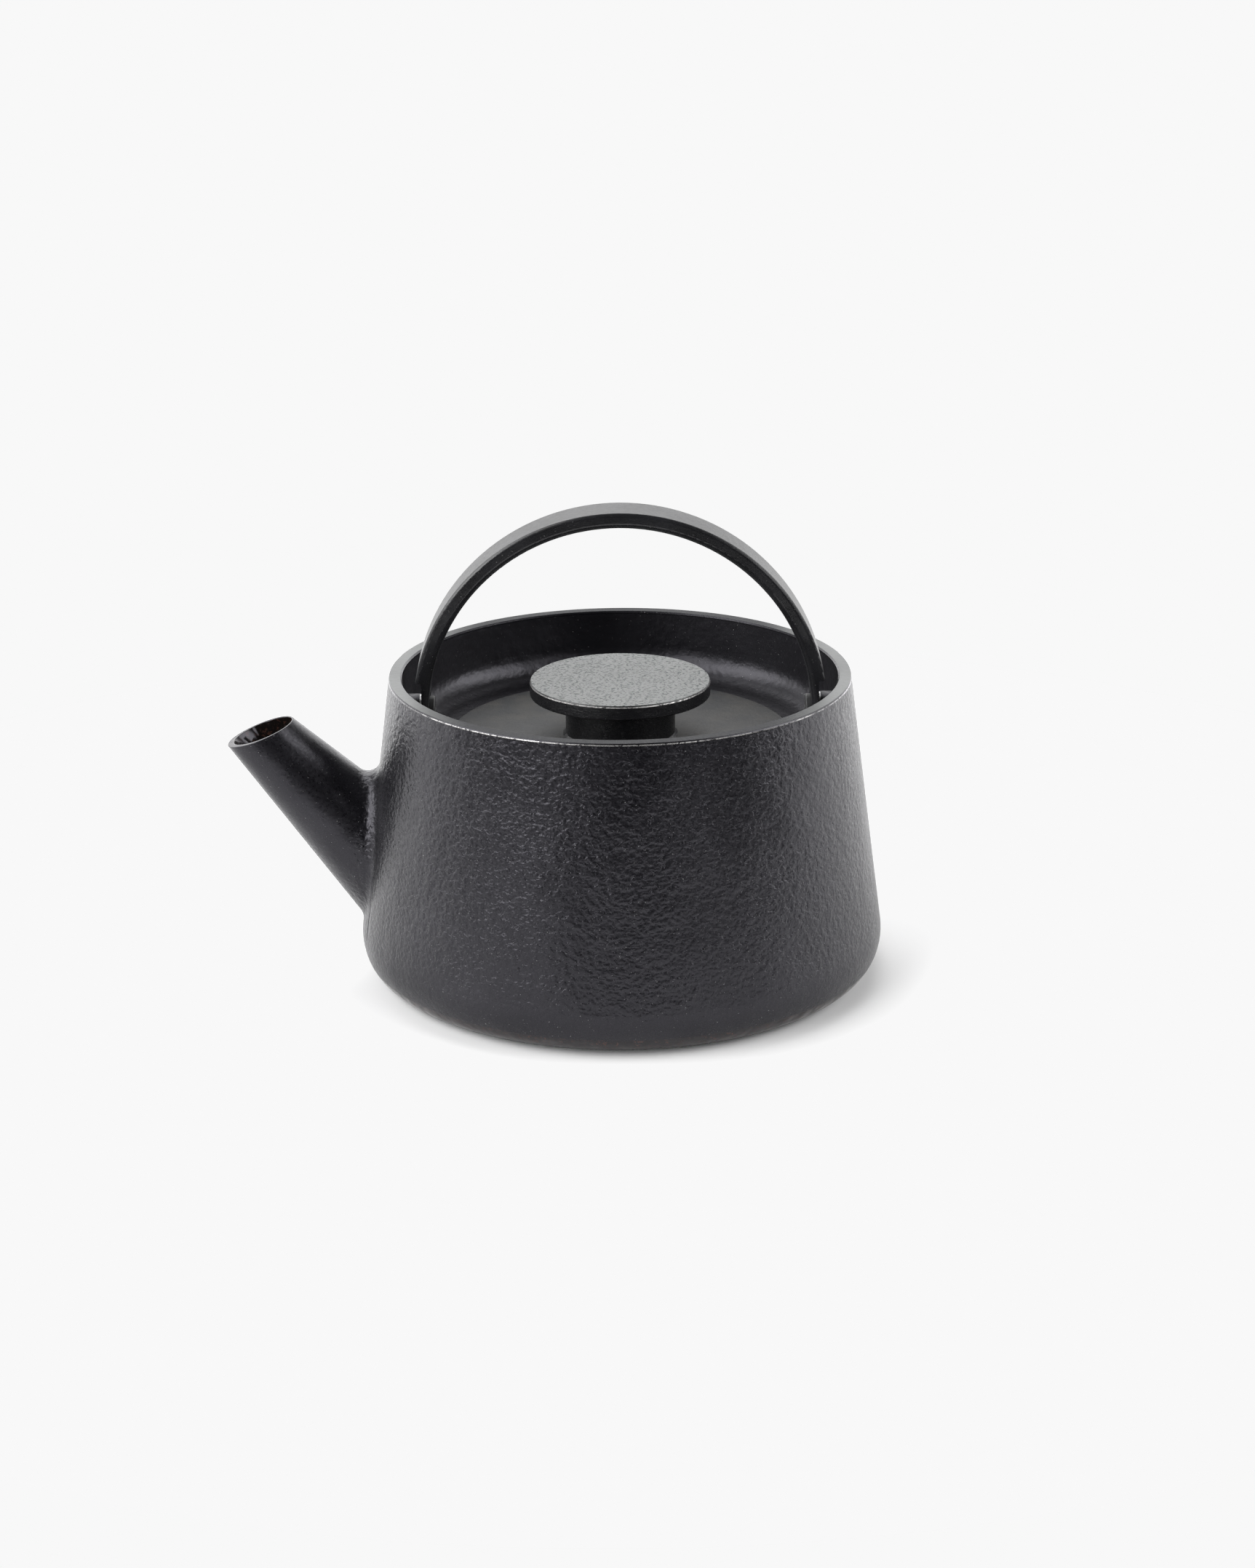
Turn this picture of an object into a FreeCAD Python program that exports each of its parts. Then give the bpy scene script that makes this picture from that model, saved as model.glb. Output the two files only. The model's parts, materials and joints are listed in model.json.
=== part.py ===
import FreeCAD, Part
import math
import os

# Cast-iron teapot with a recessed lid, a swinging bail handle and a lift-out infuser basket.
# Millimetres, +Z up, origin at the centre of the resting face, spout towards -X.

V = FreeCAD.Vector

# Pot casting: outside
MAX_R = 80.0
RIM_R = 69.8
RIM_Z = 93.5
WALL = 4.0
RIM_EDGE_R = 1.0
RIM_EDGE_DROP = 0.75
RIM_INNER_BEVEL = 0.5
HEEL_RISE = 11.7
HEEL_DEPTH = 8.8
BELLY_Z = 12.3
BASE_R = 66.0
BASE_RISE = 0.6

# Pot casting: well, seats and inside
SHELF_Z = 73.4
WELL_FILLET = 8.0
LID_SEAT_R = 52.5
LID_SEAT_Z = 70.6
BASKET_SEAT_R = 48.6
BASKET_SEAT_Z = 69.6
THROAT_R = 44.6
SHELF_UNDER_Z = 65.6
FLOOR_Z = 4.8
FLOOR_FILLET = 8.0
UNDER_FILLET = 6.0

# Spout: a cone whose axis lies in the XZ plane, cut by a sloping mouth plane
MOUTH_X = -109.9
MOUTH_Z = 75.0
SPOUT_RISE_DEG = 46.7
SPOUT_MOUTH_R = 9.94
SPOUT_TAPER = 0.125
SPOUT_LENGTH = 67.0
SPOUT_WALL = 2.6
CHANNEL_LENGTH = 73.0
MOUTH_SLOPE_DEG = 20.7
SPOUT_FILLET = 4.0
LIP_ROUND = 0.2
FLARE_R = 8.74
FLARE_SHIFT = 1.19
FLARE_STRAIGHT = 5.0
FLARE_DEPTH = 14.0
FLARE_END_R = 7.0

# Bail handle: a half ring about the pivot axis
PIVOT_Z = 81.8
BAIL_OUT_R = 62.5
BAIL_IN_R = 57.7
BAIL_HALF_W = 7.0
BAIL_OUTER_EDGE_R = 1.6
BAIL_OUTER_EDGE_DROP = 1.2
BAIL_INNER_EDGE_R = 1.8
TAB_OUT_X = 59.8
STEP_R = 12.4
SPOTFACE_R = 5.4
SPOTFACE_X = 57.9

# Pivot hardware
BOSS_R = 5.0
BOSS_FACE_X = 60.6
SCREW_HEAD_R = 4.2
SCREW_HEAD_X = 56.0
SCREW_HEAD_BACK_X = 57.6
SHOULDER_R = 2.5
PIVOT_CLEARANCE = 0.05
THREAD_R = 2.0
THREAD_END_X = 66.8
SLOT_W = 1.2
SLOT_DEPTH = 0.8
WASHER_R = 4.8
WASHER_T = 0.5

# Lid and knob
LID_R = 52.0
LID_TOP_Z = 74.1
LID_EDGE_R = 0.5
LID_RING_OUT_R = 42.0
LID_RING_IN_R = 39.5
LID_RING_Z = 66.8
KNOB_R = 27.3
KNOB_UNDER_Z = 86.6
KNOB_TOP_Z = 91.1
KNOB_EDGE_R = 1.0
KNOB_EDGE_DROP = 0.75
STEM_R = 16.6
STEM_FILLET = 0.8
KNOB_SCREW_R = 2.5
KNOB_SCREW_END_Z = 84.0
KNOB_SCREW_HEAD_R = 4.6
KNOB_SCREW_HEAD_H = 2.8
KNOB_HOLE_R = 2.7
KNOB_WASHER_R = 7.5
KNOB_WASHER_T = 0.8
HEX_FLAT = 2.0
HEX_DEPTH = 1.6

# Infuser basket
BASKET_RIM_R = 48.2
BASKET_RIM_T = 0.7
BASKET_TOP_R = 43.6
BASKET_BOTTOM_R = 40.2
BASKET_SHEET = 0.6
BASKET_COLLAR_Z = 63.0
BASKET_BASE_Z = 20.0
BASKET_BAND_H = 5.0
BASKET_BAND_LIP = 1.2
BASKET_DOME = 1.4


def point(radius, height):
    """A profile point in the XZ plane."""
    return V(radius, 0, height)


def line(start, end):
    """Straight edge."""
    return Part.LineSegment(start, end).toShape()


def rounded_edges(corners):
    """Edges of a closed polygon of (radius, height, fillet radius) corners."""
    count = len(corners)
    arcs = []
    for index in range(count):
        here = point(corners[index][0], corners[index][1])
        before = point(corners[index - 1][0], corners[index - 1][1])
        after = point(corners[(index + 1) % count][0], corners[(index + 1) % count][1])
        radius = corners[index][2]
        to_before = (before - here).normalize()
        to_after = (after - here).normalize()
        half_angle = to_before.getAngle(to_after) / 2
        reach = radius / math.tan(half_angle)
        inward = (to_before + to_after).normalize()
        middle = here + inward * (radius / math.sin(half_angle) - radius)
        arcs.append((here + to_before * reach, middle, here + to_after * reach, radius))
    edges = []
    for index in range(count):
        start, middle, end, radius = arcs[index]
        if radius > 0:
            edges.append(Part.Arc(start, middle, end).toShape())
        edges.append(line(end, arcs[(index + 1) % count][0]))
    return edges


def revolve_edges(edges):
    """Solid of revolution about Z from the edges of a closed outline."""
    wire = Part.Wire(Part.__sortEdges__(edges))
    return Part.Face(wire).revolve(V(0, 0, 0), V(0, 0, 1), 360)


def revolve_corners(corners):
    """Solid of revolution about Z from a closed polygon with rounded corners."""
    return revolve_edges(rounded_edges(corners))


def tube(outer_r, inner_r, low_z, high_z):
    """Upright ring, or a disc when the inner radius is zero."""
    ring = Part.makeCylinder(outer_r, high_z - low_z, V(0, 0, low_z))
    if inner_r > 0:
        ring = ring.cut(Part.makeCylinder(inner_r, high_z - low_z, V(0, 0, low_z)))
    return ring


def x_cylinder(radius, start_x, end_x):
    """Cylinder on the pivot axis between two X positions."""
    return Part.makeCylinder(radius, end_x - start_x, V(start_x, 0, PIVOT_Z), V(1, 0, 0))


def mirrored(shape, side):
    """The shape itself for side +1, its mirror image in the YZ plane for side -1."""
    if side > 0:
        return shape
    return shape.mirror(V(0, 0, 0), V(1, 0, 0))


def heel_centre():
    """Centre of the quarter ellipse that rounds the body into its underside."""
    return point(MAX_R - HEEL_DEPTH, BELLY_Z)


def wall_tangent_angle():
    """Ellipse angle at which the straight wall leaves the heel tangentially."""
    centre = heel_centre()
    across = (RIM_R - centre.x) / HEEL_DEPTH
    up = (RIM_Z - centre.z) / HEEL_RISE
    return math.atan2(up, across) - math.acos(1 / math.hypot(across, up))


def rim_edge(wall_slope):
    """Arc tangent to the wall that rounds its top and meets the ground rim face at a crease."""
    lean = math.atan(wall_slope)
    face_angle = math.asin(RIM_EDGE_DROP / RIM_EDGE_R)
    centre_r = RIM_R + wall_slope * RIM_EDGE_DROP - RIM_EDGE_R / math.cos(lean)
    centre = point(centre_r, RIM_Z - RIM_EDGE_DROP)
    return [centre + point(RIM_EDGE_R * math.cos(angle), RIM_EDGE_R * math.sin(angle))
            for angle in (lean, (lean + face_angle) / 2, face_angle)]


def outer_body():
    """Solid outside of the pot: flat base, rounded heel, straight tapering wall and rounded rim edge."""
    centre = heel_centre()
    ellipse = Part.Ellipse(centre - V(0, 0, HEEL_RISE), centre + V(HEEL_DEPTH, 0, 0), centre)
    heel = Part.ArcOfEllipse(ellipse, 0, math.pi / 2 + wall_tangent_angle()).toShape()
    heel_low = heel.valueAt(heel.FirstParameter)
    heel_high = heel.valueAt(heel.LastParameter)
    wall_top, edge_middle, face_edge = rim_edge((heel_high.x - RIM_R) / (RIM_Z - heel_high.z))
    corners = [
        face_edge,
        point(0, RIM_Z),
        point(0, 0),
        point(BASE_R, 0),
        point(BASE_R + BASE_RISE, BASE_RISE),
        heel_low,
    ]
    edges = [line(a, b) for a, b in zip(corners, corners[1:])]
    edges += [heel, line(heel_high, wall_top), Part.Arc(wall_top, edge_middle, face_edge).toShape()]
    return revolve_edges(edges)


def cavity():
    """Everything open above and inside the casting: the well, the two seats, the throat and the water space."""
    centre = heel_centre()
    wall_slope = (MAX_R - RIM_R) / (RIM_Z - centre.z)
    well_r = RIM_R - WALL
    under_r = MAX_R - WALL - wall_slope * (SHELF_UNDER_Z - centre.z)
    floor_r = MAX_R - WALL + wall_slope * (centre.z - FLOOR_Z)
    above = RIM_Z + 5
    corners = [
        (0, FLOOR_Z, 0),
        (floor_r, FLOOR_Z, FLOOR_FILLET),
        (under_r, SHELF_UNDER_Z, UNDER_FILLET),
        (THROAT_R, SHELF_UNDER_Z, 0),
        (THROAT_R, BASKET_SEAT_Z, 0),
        (BASKET_SEAT_R, BASKET_SEAT_Z, 0),
        (BASKET_SEAT_R, LID_SEAT_Z, 0),
        (LID_SEAT_R, LID_SEAT_Z, 0),
        (LID_SEAT_R, SHELF_Z, 0),
        (well_r, SHELF_Z, WELL_FILLET),
        (well_r, RIM_Z - RIM_INNER_BEVEL, 0),
        (well_r + RIM_INNER_BEVEL, RIM_Z, 0),
        (well_r + RIM_INNER_BEVEL, above, 0),
        (0, above, 0),
    ]
    return revolve_corners(corners)


def spout_direction():
    """Unit vector along the spout axis, from the mouth down into the body."""
    rise = math.radians(SPOUT_RISE_DEG)
    return V(math.cos(rise), 0, -math.sin(rise))


def spout_cone(mouth_radius, back, length):
    """Cone on the spout axis, starting a distance back beyond the mouth centre."""
    along = spout_direction()
    start = V(MOUTH_X, 0, MOUTH_Z) - along * back
    start_r = mouth_radius - SPOUT_TAPER * back
    end_r = mouth_radius + SPOUT_TAPER * length
    return Part.makeCone(start_r, end_r, back + length, start, along)


def mouth_flare():
    """Wider stretch of the channel just inside the mouth, set off towards the pot so that the lip thins there."""
    along = spout_direction()
    across = V(-along.z, 0, along.x)
    centre = V(MOUTH_X, 0, MOUTH_Z) + across * FLARE_SHIFT
    straight = Part.makeCylinder(FLARE_R, 2 * FLARE_STRAIGHT, centre - along * FLARE_STRAIGHT, along)
    tapered = Part.makeCone(FLARE_R, FLARE_END_R, FLARE_DEPTH - FLARE_STRAIGHT,
                            centre + along * FLARE_STRAIGHT, along)
    return straight.fuse(tapered)


def body_with_spout():
    """Outside of the pot with the spout blended into the wall and cut at its mouth."""
    slope = math.radians(MOUTH_SLOPE_DEG)
    beyond_mouth = Part.makeCylinder(40, 40, V(MOUTH_X, 0, MOUTH_Z), V(-math.sin(slope), 0, math.cos(slope)))
    spout = spout_cone(SPOUT_MOUTH_R, 20, SPOUT_LENGTH).cut(beyond_mouth)
    body = outer_body().fuse(spout)
    joint = [edge for edge in body.Edges if is_spout_joint(edge)]
    return body.makeFillet(SPOUT_FILLET, joint)


def is_spout_joint(edge):
    """True for an edge where the spout cone meets the outside wall."""
    box = edge.BoundBox
    on_wall = box.XMin > -MAX_R - 1 and box.XMax < -0.8 * MAX_R
    return on_wall and box.ZLength > 5 and box.YLength > 5


def is_lip_edge(edge):
    """True for an edge that lies in the mouth plane."""
    slope = math.radians(MOUTH_SLOPE_DEG)
    normal = V(-math.sin(slope), 0, math.cos(slope))
    centre = V(MOUTH_X, 0, MOUTH_Z)
    ends = (edge.FirstParameter, (edge.FirstParameter + edge.LastParameter) / 2, edge.LastParameter)
    return all(abs((edge.valueAt(value) - centre).dot(normal)) < 1e-4 for value in ends)


def pot_casting():
    """The pot as one casting: body, spout, seats for basket and lid, and the two pivot bosses."""
    pot = body_with_spout()
    pot = pot.cut(cavity())
    pot = pot.cut(spout_cone(SPOUT_MOUTH_R - SPOUT_WALL, 20, CHANNEL_LENGTH))
    pot = pot.cut(mouth_flare())
    lips = [edge for edge in pot.Edges if is_lip_edge(edge)]
    pot = pot.makeFillet(LIP_ROUND, lips)
    for side in (1, -1):
        boss = x_cylinder(BOSS_R, BOSS_FACE_X, RIM_R - WALL + 1)
        hole = x_cylinder(THREAD_R, BOSS_FACE_X - 1, THREAD_END_X)
        pot = pot.fuse(mirrored(boss, side)).cut(mirrored(hole, side))
    return pot


def pivot_screw(side):
    """Slotted shoulder screw on the pivot axis, headed on the inside of the handle's tab."""
    head = x_cylinder(SCREW_HEAD_R, SCREW_HEAD_X, SCREW_HEAD_BACK_X)
    rim = [edge for edge in head.Edges if edge.BoundBox.XMax < SCREW_HEAD_X + 0.1 and edge.Length > 20]
    head = head.makeFillet(0.5, rim)
    shoulder = x_cylinder(SHOULDER_R, SCREW_HEAD_BACK_X, BOSS_FACE_X)
    thread = x_cylinder(THREAD_R, BOSS_FACE_X, THREAD_END_X)
    slot = Part.makeBox(SLOT_DEPTH, 3 * SCREW_HEAD_R, SLOT_W)
    slot.translate(V(SCREW_HEAD_X, -1.5 * SCREW_HEAD_R, PIVOT_Z - SLOT_W / 2))
    return mirrored(head.fuse(shoulder).fuse(thread).cut(slot), side)


def friction_washer(side):
    """Thin washer on the screw's shoulder, against the boss."""
    ring = x_cylinder(WASHER_R, BOSS_FACE_X - WASHER_T, BOSS_FACE_X)
    return mirrored(ring.cut(x_cylinder(SHOULDER_R, BOSS_FACE_X - 1, BOSS_FACE_X + 1)), side)


def handle_tab():
    """Round lower end of the strap, half its thickness, with the strap's rounded inner edge."""
    disc = x_cylinder(BAIL_HALF_W, BAIL_IN_R, TAB_OUT_X)
    inner = [edge for edge in disc.Edges if edge.BoundBox.XMax < BAIL_IN_R + 0.1]
    disc = disc.makeFillet(BAIL_INNER_EDGE_R, inner)
    upper_half = Part.makeBox(10, 4 * BAIL_HALF_W, 2 * BAIL_HALF_W)
    upper_half.translate(V(BAIL_IN_R - 5, -2 * BAIL_HALF_W, PIVOT_Z))
    return disc.cut(upper_half)


def strap_point(radius, across):
    """A point of the strap's section where it crosses the pivot plane."""
    return V(radius, across, PIVOT_Z)


def strap_side(side):
    """Edges of one side of the strap's section: outer rounding up to the flat face's crease, flat, inner rounding."""
    outer_r = BAIL_OUT_R - BAIL_OUTER_EDGE_DROP
    outer_y = BAIL_HALF_W - BAIL_OUTER_EDGE_R
    inner_r = BAIL_IN_R + BAIL_INNER_EDGE_R
    inner_y = BAIL_HALF_W - BAIL_INNER_EDGE_R
    crease = math.asin(BAIL_OUTER_EDGE_DROP / BAIL_OUTER_EDGE_R)
    outer = [strap_point(outer_r + BAIL_OUTER_EDGE_R * math.sin(angle),
                         side * (outer_y + BAIL_OUTER_EDGE_R * math.cos(angle)))
             for angle in (crease, crease / 2, 0)]
    inner = [strap_point(inner_r - BAIL_INNER_EDGE_R * math.sin(angle),
                         side * (inner_y + BAIL_INNER_EDGE_R * math.cos(angle)))
             for angle in (0, math.pi / 4, math.pi / 2)]
    return [Part.Arc(*outer).toShape(), line(outer[2], inner[0]), Part.Arc(*inner).toShape()], outer[0], inner[2]


def strap_section():
    """Face of the strap's section where it crosses the pivot plane."""
    near, near_crease, near_inner = strap_side(-1)
    far, far_crease, far_inner = strap_side(1)
    edges = near + far + [line(near_crease, far_crease), line(near_inner, far_inner)]
    return Part.Face(Part.Wire(Part.__sortEdges__(edges)))


def bail_handle():
    """Half-ring strap, stepped at each end into a thin round tab with a bore and a spotface."""
    handle = strap_section().revolve(V(0, 0, PIVOT_Z), V(0, -1, 0), 180)
    for side in (1, -1):
        step = x_cylinder(STEP_R, TAB_OUT_X, BAIL_OUT_R + 1)
        spotface = x_cylinder(SPOTFACE_R, BAIL_IN_R - 3, SPOTFACE_X)
        bore = x_cylinder(SHOULDER_R + PIVOT_CLEARANCE, BAIL_IN_R - 3, BAIL_OUT_R)
        handle = handle.fuse(mirrored(handle_tab(), side))
        for cutter in (step, spotface, bore):
            handle = handle.cut(mirrored(cutter, side))
    return handle


def lid_plate():
    """Round lid plate with a locating ring underneath and a hole for the knob screw."""
    corners = [
        (0, LID_SEAT_Z, 0),
        (LID_RING_IN_R, LID_SEAT_Z, 0.5),
        (LID_RING_IN_R, LID_RING_Z, 0.8),
        (LID_RING_OUT_R, LID_RING_Z, 0.8),
        (LID_RING_OUT_R, LID_SEAT_Z, 0.3),
        (LID_R, LID_SEAT_Z, 0.3),
        (LID_R, LID_TOP_Z, LID_EDGE_R),
        (0, LID_TOP_Z, 0),
    ]
    return revolve_corners(corners).cut(tube(KNOB_HOLE_R, 0, LID_SEAT_Z - 1, LID_TOP_Z + 1))


def lid_knob():
    """Flat disc knob and its thick stem, turned as one piece, with a rounded top edge up to the face's crease."""
    corners = [
        (STEM_R + STEM_FILLET, LID_TOP_Z, 0),
        (STEM_R, LID_TOP_Z + STEM_FILLET, 0),
        (STEM_R, KNOB_UNDER_Z, STEM_FILLET),
        (KNOB_R, KNOB_UNDER_Z, 0.4),
        (KNOB_R, KNOB_TOP_Z, 0),
        (0, KNOB_TOP_Z, 0),
        (0, LID_TOP_Z, 0),
    ]
    knob = revolve_corners(corners)
    centre = point(KNOB_R - KNOB_EDGE_R, KNOB_TOP_Z - KNOB_EDGE_DROP)
    crease = math.asin(KNOB_EDGE_DROP / KNOB_EDGE_R)
    arc = [centre + point(KNOB_EDGE_R * math.cos(angle), KNOB_EDGE_R * math.sin(angle))
           for angle in (0, crease / 2, crease)]
    corner = point(KNOB_R, KNOB_TOP_Z)
    edges = [Part.Arc(*arc).toShape(), line(arc[2], corner), line(corner, arc[0])]
    knob = knob.cut(revolve_edges(edges))
    return knob.cut(tube(KNOB_SCREW_R, 0, LID_TOP_Z - 1, KNOB_SCREW_END_Z))


def knob_screw():
    """Hexagon-socket screw that holds the knob from under the lid."""
    head_top = LID_SEAT_Z - KNOB_WASHER_T
    head_low = head_top - KNOB_SCREW_HEAD_H
    head = tube(KNOB_SCREW_HEAD_R, 0, head_low, head_top)
    rim = [edge for edge in head.Edges if edge.BoundBox.ZMax < head_low + 0.1 and edge.Length > 10]
    head = head.makeFillet(0.5, rim)
    shank = tube(KNOB_SCREW_R, 0, head_top, KNOB_SCREW_END_Z)
    hexagon = [V(HEX_FLAT * math.cos(math.radians(a)), HEX_FLAT * math.sin(math.radians(a)), head_low)
               for a in range(0, 361, 60)]
    socket = Part.Face(Part.makePolygon(hexagon)).extrude(V(0, 0, HEX_DEPTH))
    return head.fuse(shank).cut(socket)


def knob_washer():
    """Flat washer between the screw head and the lid."""
    return tube(KNOB_WASHER_R, KNOB_HOLE_R, LID_SEAT_Z - KNOB_WASHER_T, LID_SEAT_Z)


def basket_radius(height):
    """Outside radius of the basket's tapering wall at a height."""
    share = (height - BASKET_BASE_Z) / (BASKET_SEAT_Z - BASKET_BASE_Z)
    return BASKET_BOTTOM_R + share * (BASKET_TOP_R - BASKET_BOTTOM_R)


def infuser_rim():
    """Flat flange that hangs in the throat, with the plain collar below it."""
    low_r = basket_radius(BASKET_COLLAR_Z)
    corners = [
        (BASKET_TOP_R - BASKET_SHEET, BASKET_SEAT_Z + BASKET_RIM_T, BASKET_SHEET),
        (low_r - BASKET_SHEET, BASKET_COLLAR_Z, 0),
        (low_r, BASKET_COLLAR_Z, 0),
        (BASKET_TOP_R, BASKET_SEAT_Z, 0),
        (BASKET_RIM_R, BASKET_SEAT_Z, 0),
        (BASKET_RIM_R, BASKET_SEAT_Z + BASKET_RIM_T, 0.3),
    ]
    return revolve_corners(corners)


def infuser_wall():
    """Tapering mesh wall between the collar and the base."""
    low_r = basket_radius(BASKET_BASE_Z)
    high_r = basket_radius(BASKET_COLLAR_Z)
    corners = [
        (low_r - BASKET_SHEET, BASKET_BASE_Z, 0),
        (low_r, BASKET_BASE_Z, 0),
        (high_r, BASKET_COLLAR_Z, 0),
        (high_r - BASKET_SHEET, BASKET_COLLAR_Z, 0),
    ]
    return revolve_corners(corners)


def infuser_base():
    """Mesh floor of the basket, pressed slightly upward in the middle."""
    low_r = basket_radius(BASKET_BASE_Z)
    corners = [
        (0, BASKET_BASE_Z + BASKET_DOME, 0),
        (low_r * 0.55, BASKET_BASE_Z + BASKET_DOME, 4),
        (low_r * 0.8, BASKET_BASE_Z, 4),
        (low_r - BASKET_SHEET, BASKET_BASE_Z, 0),
        (low_r - BASKET_SHEET, BASKET_BASE_Z + BASKET_SHEET, 0),
        (low_r * 0.8, BASKET_BASE_Z + BASKET_SHEET, 4),
        (low_r * 0.55, BASKET_BASE_Z + BASKET_DOME + BASKET_SHEET, 4),
        (0, BASKET_BASE_Z + BASKET_DOME + BASKET_SHEET, 0),
    ]
    return revolve_corners(corners)


def infuser_band():
    """Plain band that binds the wall to the base."""
    low_r = basket_radius(BASKET_BASE_Z)
    high_r = basket_radius(BASKET_BASE_Z + BASKET_BAND_H)
    corners = [
        (low_r - BASKET_BAND_LIP, BASKET_BASE_Z - BASKET_SHEET, 0),
        (low_r + BASKET_SHEET, BASKET_BASE_Z - BASKET_SHEET, 0.4),
        (high_r + BASKET_SHEET, BASKET_BASE_Z + BASKET_BAND_H, 0),
        (high_r, BASKET_BASE_Z + BASKET_BAND_H, 0),
        (low_r, BASKET_BASE_Z, 0),
        (low_r - BASKET_BAND_LIP, BASKET_BASE_Z, 0),
    ]
    return revolve_corners(corners)


def save(name, shape):
    """One clean solid per STEP file."""
    shape = shape.removeSplitter()
    solid = shape.Solids[0]
    print(name, len(shape.Solids), "solid", "valid" if solid.isValid() else "INVALID", round(solid.Volume, 1))
    solid.exportStep("parts/" + name + ".step")


def main():
    """Write every piece."""
    os.makedirs("parts", exist_ok=True)
    save("pot_casting", pot_casting())
    for name, side in (("spout_side", -1), ("back_side", 1)):
        save("pivot_screw_" + name, pivot_screw(side))
        save("friction_washer_" + name, friction_washer(side))
    save("bail_handle", bail_handle())
    save("lid_plate", lid_plate())
    save("lid_knob", lid_knob())
    save("knob_screw", knob_screw())
    save("knob_washer", knob_washer())
    save("infuser_rim", infuser_rim())
    save("infuser_wall", infuser_wall())
    save("infuser_base", infuser_base())
    save("infuser_band", infuser_band())


main()
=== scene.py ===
import json
import math

import bmesh
import bpy
from mathutils import Matrix, Vector


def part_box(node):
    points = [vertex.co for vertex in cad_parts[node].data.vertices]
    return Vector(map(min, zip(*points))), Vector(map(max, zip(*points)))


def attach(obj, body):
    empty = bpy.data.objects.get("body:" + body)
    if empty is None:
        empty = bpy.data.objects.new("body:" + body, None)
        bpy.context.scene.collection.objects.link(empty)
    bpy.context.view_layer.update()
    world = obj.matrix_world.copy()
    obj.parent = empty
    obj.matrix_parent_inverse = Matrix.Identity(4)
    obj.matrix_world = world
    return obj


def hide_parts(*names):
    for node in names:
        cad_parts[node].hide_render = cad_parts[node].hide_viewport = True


# Looks for the cast-iron teapot: camera, studio, materials, and the infuser basket's perforated sheet.
# Everything is in metres in the row frame: origin at the base's centre, +Z up, spout towards -X.

MM = 0.001

# Camera: seen from the front (-Y), a little above the rim
CAMERA_DISTANCE = 1.0336
CAMERA_PITCH_DEG = 18.98
CAMERA_YAW_DEG = -0.12
CAMERA_ROLL_DEG = -0.36
CAMERA_TARGET_Z = 0.0575
CAMERA_LENS = 77.65
CAMERA_CLIP = (0.05, 20.0)
SENSOR_WIDTH = 36.0

# Studio: a bright sweep behind and beside the pot, which starts and fades over these ranges of the
# direction's Y and Z, with soft lights as (azimuth, elevation, half angle, strength), angles in degrees,
# azimuth 0 at the camera and 90 at +X
BACKDROP = 0.939
SWEEP_STRENGTH = 2.2
SWEEP_FRONT = (-0.30, 0.15)
SWEEP_TOP = (0.35, 0.65)
SOFT_LIGHTS = (
    (291, 34, 40, 5.6),
    (322, 15, 14, 9.0),
    (80, 30, 32, 4.5),
    (38, 15, 11, 4.5),
    (190, 55, 35, 3.8),
)
FLOOR_COLOUR = (0.89, 0.89, 0.89, 1)
FLOOR_ROUGHNESS = 0.9
FLOOR_RADIUS = 0.34
FLOOR_SEGMENTS = 128

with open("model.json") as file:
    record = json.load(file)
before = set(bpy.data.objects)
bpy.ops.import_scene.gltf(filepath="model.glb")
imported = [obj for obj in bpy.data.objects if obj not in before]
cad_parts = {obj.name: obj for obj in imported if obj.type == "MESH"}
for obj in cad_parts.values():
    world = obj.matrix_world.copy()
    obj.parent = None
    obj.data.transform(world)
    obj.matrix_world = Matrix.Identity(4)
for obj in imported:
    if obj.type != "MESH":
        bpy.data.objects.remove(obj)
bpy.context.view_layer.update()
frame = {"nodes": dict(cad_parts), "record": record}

# Heights that come from the CAD
RIM_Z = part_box("pot_casting")[1].z
KNOB_TOP_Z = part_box("lid_knob")[1].z
WELL_FLOOR_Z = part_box("lid_plate")[0].z
BAIL_TOP_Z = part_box("bail_handle")[1].z

# The handle's arch is centred on its pivots
PIVOT_Z = 81.8 * MM
BAIL_R = BAIL_TOP_Z - PIVOT_Z

# The pot's wall, as the CAD has it: a straight taper from the heel to the rim
RIM_R = 69.8 * MM
WALL_SLOPE = 0.1272
WALL_R_AT_BASE = RIM_R + WALL_SLOPE * RIM_Z

# The spout's channel: a cone from the mouth's centre down into the body, and a wider flare set off to the
# upper side in the mouth; both a little wider than the CAD's, to take in the walls themselves
MOUTH = (-109.9 * MM, 0.0, 75.0 * MM)
SPOUT_RISE = math.radians(46.7)
SPOUT_AXIS = (math.cos(SPOUT_RISE), 0.0, -math.sin(SPOUT_RISE))
SPOUT_BORE_R = 7.84 * MM
SPOUT_TAPER = 0.125
FLARE_R = 8.94 * MM
FLARE_SHIFT = 1.19 * MM
FLARE_X = MOUTH[0] + FLARE_SHIFT * math.sin(SPOUT_RISE)
FLARE_Z = MOUTH[2] + FLARE_SHIFT * math.cos(SPOUT_RISE)
FLARE_DEPTH = 14 * MM
FLARE_FADE = 2 * MM

# Flow mark cast in the wall under the spout, at an azimuth from the camera's side, between two heights
FLOW_MARK_AZIMUTH = math.radians(-76)
FLOW_MARK_LOW = 13 * MM
FLOW_MARK_HIGH = 37 * MM
FLOW_MARK_FADE = 4 * MM
FLOW_MARK_BEND = 0.8 * MM
FLOW_MARK_HALF_WIDTH = (1.5 * MM, 0.4 * MM)
FLOW_MARK_DEPTH = 3.0

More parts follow.
